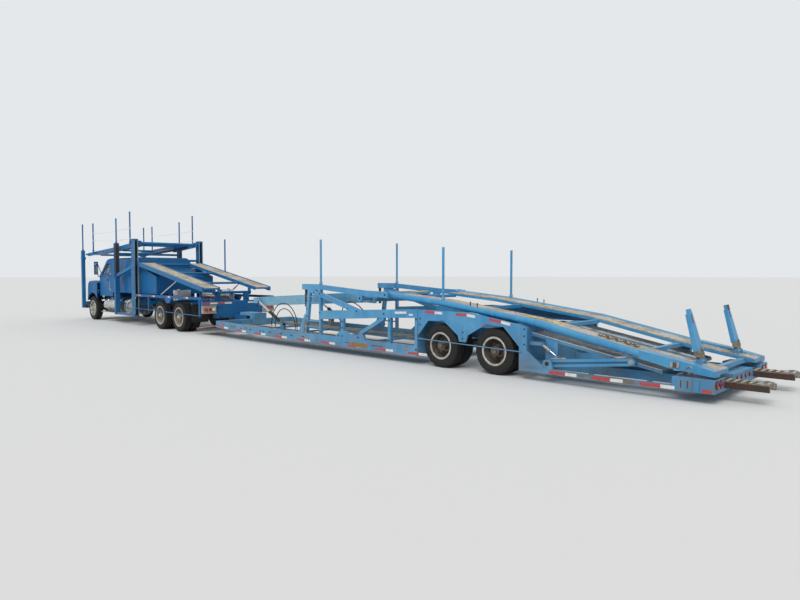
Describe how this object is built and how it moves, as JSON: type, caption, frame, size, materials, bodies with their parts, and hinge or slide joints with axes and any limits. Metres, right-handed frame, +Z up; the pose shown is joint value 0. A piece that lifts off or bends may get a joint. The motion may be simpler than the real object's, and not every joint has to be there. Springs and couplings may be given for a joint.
{
  "type": "car transporter truck",
  "caption": "Articulated car carrier: head-rack truck with sleeper cab and tilting decks, hinged to a low two-axle trailer with a sloping rear loading deck, flippers and slide-out skids.",
  "frame": {"origin": "on the ground under the middle of the whole rig's box", "axes": "+X forward along the straight rig, +Y to its left, +Z up"},
  "size_m": [24.73, 2.59, 3.9999],
  "materials": {
    "truck_blue": "semi-gloss",
    "trailer_blue": "semi-gloss, weathered",
    "deck_steel": "worn",
    "chassis_black": "satin",
    "bumper_chrome": "polished",
    "tank_alu": "polished",
    "rim_alu": "brushed",
    "tyre": "matte",
    "flap_rubber": "matte",
    "glass": "clear",
    "lamp_glass": "clear",
    "lamp_red": "glossy",
    "trim_black": "matte",
    "rod_chrome": "polished",
    "barrel_grey": "painted silver",
    "skid_steel": "worn, rusty",
    "iron": "rough"
  },
  "bodies": {
    "truck": {"truck_frame": "truck_blue", "engine_block": "iron", "truck_axles": "chassis_black", "cab_shell": "truck_blue", "sleeper_shell": "truck_blue", "cab_glass": "glass", "cab_interior": "trim_black", "front_bumper": "bumper_chrome", "fuel_tanks": "tank_alu", "headrack_frame": "truck_blue", "rear_lamps": "lamp_red", "mudflaps": "flap_rubber"},
    "hood": {"hood_shell": "truck_blue", "headlamps": "lamp_glass"},
    "door_left": {"door_left": "truck_blue", "door_glass_left": "glass"},
    "door_right": {"door_right": "truck_blue", "door_glass_right": "glass"},
    "knuckle_left": {"knuckle_left": "iron"},
    "knuckle_right": {"knuckle_right": "iron"},
    "cab_deck": {"cab_deck": "truck_blue"},
    "truck_ramp": {"truck_ramp": "deck_steel"},
    "trailer": {"trailer_frame": "trailer_blue", "truss_left": "trailer_blue", "truss_right": "trailer_blue", "nose_plates": "deck_steel", "trailer_axles": "chassis_black", "rear_bumper": "trailer_blue", "arm_barrels": "barrel_grey", "hydraulic_hoses": "flap_rubber"},
    "front_deck": {"front_deck": "trailer_blue"},
    "front_deck_barrels": {"front_deck_barrels": "barrel_grey"},
    "front_deck_rods": {"front_deck_rods": "rod_chrome"},
    "rear_deck": {"rear_deck": "trailer_blue"},
    "lift_arms": {"lift_arms": "trailer_blue"},
    "arm_rods": {"arm_rods": "rod_chrome"},
    "flipper_left": {"flipper_left": "trailer_blue"},
    "flipper_right": {"flipper_right": "trailer_blue"},
    "skid_left": {"skid_left": "skid_steel"},
    "skid_right": {"skid_right": "skid_steel"},
    "wheel_front_left": {"tyre_front_left": "tyre", "rim_front_left": "rim_alu"},
    "wheel_drive_rear_left": {"tyre_drive_rear_left": "tyre", "rim_drive_rear_left": "rim_alu"},
    "wheel_drive_front_left": {"tyre_drive_front_left": "tyre", "rim_drive_front_left": "rim_alu"},
    "wheel_trailer_rear_left": {"tyre_trailer_rear_left": "tyre", "rim_trailer_rear_left": "rim_alu"},
    "wheel_trailer_front_left": {"tyre_trailer_front_left": "tyre", "rim_trailer_front_left": "rim_alu"},
    "wheel_front_right": {"tyre_front_right": "tyre", "rim_front_right": "rim_alu"},
    "wheel_drive_rear_right": {"tyre_drive_rear_right": "tyre", "rim_drive_rear_right": "rim_alu"},
    "wheel_drive_front_right": {"tyre_drive_front_right": "tyre", "rim_drive_front_right": "rim_alu"},
    "wheel_trailer_rear_right": {"tyre_trailer_rear_right": "tyre", "rim_trailer_rear_right": "rim_alu"},
    "wheel_trailer_front_right": {"tyre_trailer_front_right": "tyre", "rim_trailer_front_right": "rim_alu"}
  },
  "joints": [
    {"name": "hood_tilt", "type": "hinge", "parent": "truck", "child": "hood", "pos_m": [12.275, 0, 0.712], "axis": [0, 1, 0], "range_deg": [0, 55]},
    {"name": "door_left_swing", "type": "hinge", "parent": "truck", "child": "door_left", "pos_m": [10.835, 1.046, 1.5], "axis": [0, 0, -1], "range_deg": [0, 65]},
    {"name": "door_right_swing", "type": "hinge", "parent": "truck", "child": "door_right", "pos_m": [10.835, -1.046, 1.5], "axis": [0, 0, 1], "range_deg": [0, 65]},
    {"name": "steer_left", "type": "hinge", "parent": "truck", "child": "knuckle_left", "pos_m": [11.335, 0.85, 0.457], "axis": [0, 0, 1], "range_deg": [-35, 35]},
    {"name": "steer_right", "type": "hinge", "parent": "truck", "child": "knuckle_right", "pos_m": [11.335, -0.85, 0.457], "axis": [0, 0, 1], "range_deg": [-35, 35]},
    {"name": "spin_front_left", "type": "hinge", "parent": "knuckle_left", "child": "wheel_front_left", "pos_m": [11.335, 1.02, 0.457], "axis": [0, 1, 0], "continuous": true},
    {"name": "spin_drive_rear_left", "type": "hinge", "parent": "truck", "child": "wheel_drive_rear_left", "pos_m": [3.885, 0.96, 0.457], "axis": [0, 1, 0], "continuous": true},
    {"name": "spin_drive_front_left", "type": "hinge", "parent": "truck", "child": "wheel_drive_front_left", "pos_m": [5.185, 0.96, 0.457], "axis": [0, 1, 0], "continuous": true},
    {"name": "spin_trailer_rear_left", "type": "hinge", "parent": "trailer", "child": "wheel_trailer_rear_left", "pos_m": [-8.115, 0.975, 0.421], "axis": [0, 1, 0], "continuous": true},
    {"name": "spin_trailer_front_left", "type": "hinge", "parent": "trailer", "child": "wheel_trailer_front_left", "pos_m": [-6.865, 0.975, 0.421], "axis": [0, 1, 0], "continuous": true},
    {"name": "spin_front_right", "type": "hinge", "parent": "knuckle_right", "child": "wheel_front_right", "pos_m": [11.335, -1.02, 0.457], "axis": [0, 1, 0], "continuous": true},
    {"name": "spin_drive_rear_right", "type": "hinge", "parent": "truck", "child": "wheel_drive_rear_right", "pos_m": [3.885, -0.96, 0.457], "axis": [0, 1, 0], "continuous": true},
    {"name": "spin_drive_front_right", "type": "hinge", "parent": "truck", "child": "wheel_drive_front_right", "pos_m": [5.185, -0.96, 0.457], "axis": [0, 1, 0], "continuous": true},
    {"name": "spin_trailer_rear_right", "type": "hinge", "parent": "trailer", "child": "wheel_trailer_rear_right", "pos_m": [-8.115, -0.975, 0.421], "axis": [0, 1, 0], "continuous": true},
    {"name": "spin_trailer_front_right", "type": "hinge", "parent": "trailer", "child": "wheel_trailer_front_right", "pos_m": [-6.865, -0.975, 0.421], "axis": [0, 1, 0], "continuous": true},
    {"name": "cab_deck_lift", "type": "hinge", "parent": "truck", "child": "cab_deck", "pos_m": [7.13, 0, 2.88], "axis": [0, -1, 0], "range_deg": [0, 6]},
    {"name": "truck_ramp_lift", "type": "hinge", "parent": "truck", "child": "truck_ramp", "pos_m": [2.785, 0, 1.23], "axis": [0, -1, 0], "range_deg": [0, 10]},
    {"name": "trailer_yaw", "type": "hinge", "parent": "truck", "child": "trailer", "pos_m": [1.835, 0, 0.5], "axis": [0, 0, 1], "range_deg": [-60, 60]},
    {"name": "front_deck_lift", "type": "hinge", "parent": "trailer", "child": "front_deck", "pos_m": [-4.615, 0, 1.27], "axis": [0, -1, 0], "range_deg": [0, 8]},
    {"name": "front_deck_barrel_swing", "type": "hinge", "parent": "trailer", "child": "front_deck_barrels", "pos_m": [-1.36, 0, 0.51], "axis": [0, -1, 0], "range_deg": [0, 20]},
    {"name": "front_deck_rod_slide", "type": "slide", "parent": "front_deck_barrels", "child": "front_deck_rods", "axis": [0.8921, 0, 0.4519], "range_m": [0, 0.36]},
    {"name": "rear_deck_lift", "type": "hinge", "parent": "trailer", "child": "rear_deck", "pos_m": [-5.395, 0, 1.36], "axis": [0, 1, 0], "range_deg": [0, 10.8]},
    {"name": "lift_arm_swing", "type": "hinge", "parent": "trailer", "child": "lift_arms", "pos_m": [-9.195, 0, 0.31], "axis": [0, 1, 0], "range_deg": [0, 40.1]},
    {"name": "arm_rod_slide", "type": "slide", "parent": "trailer", "child": "arm_rods", "axis": [-0.8448, 0, -0.5351], "range_m": [-0.116, 0]},
    {"name": "flipper_left_fold", "type": "hinge", "parent": "rear_deck", "child": "flipper_left", "pos_m": [-11.485, 0.85, 0.536], "axis": [0, 1, 0], "range_deg": [-85, 50]},
    {"name": "flipper_right_fold", "type": "hinge", "parent": "rear_deck", "child": "flipper_right", "pos_m": [-11.485, -0.85, 0.536], "axis": [0, 1, 0], "range_deg": [-85, 50]},
    {"name": "skid_left_slide", "type": "slide", "parent": "trailer", "child": "skid_left", "axis": [1, 0, 0], "range_m": [0, 0.45]},
    {"name": "skid_right_slide", "type": "slide", "parent": "trailer", "child": "skid_right", "axis": [1, 0, 0], "range_m": [0, 0.45]}
  ],
  "couplings": [
    {"joint": "steer_right", "follows": "steer_left", "ratio": 1},
    {"joint": "front_deck_barrel_swing", "follows": "front_deck_lift", "ratio": 2.4725},
    {"joint": "front_deck_rod_slide", "follows": "front_deck_lift", "m_per_rad": 2.5683},
    {"joint": "lift_arm_swing", "follows": "rear_deck_lift", "ratio": 3.7037},
    {"joint": "arm_rod_slide", "follows": "rear_deck_lift", "m_per_rad": -0.6085}
  ]
}
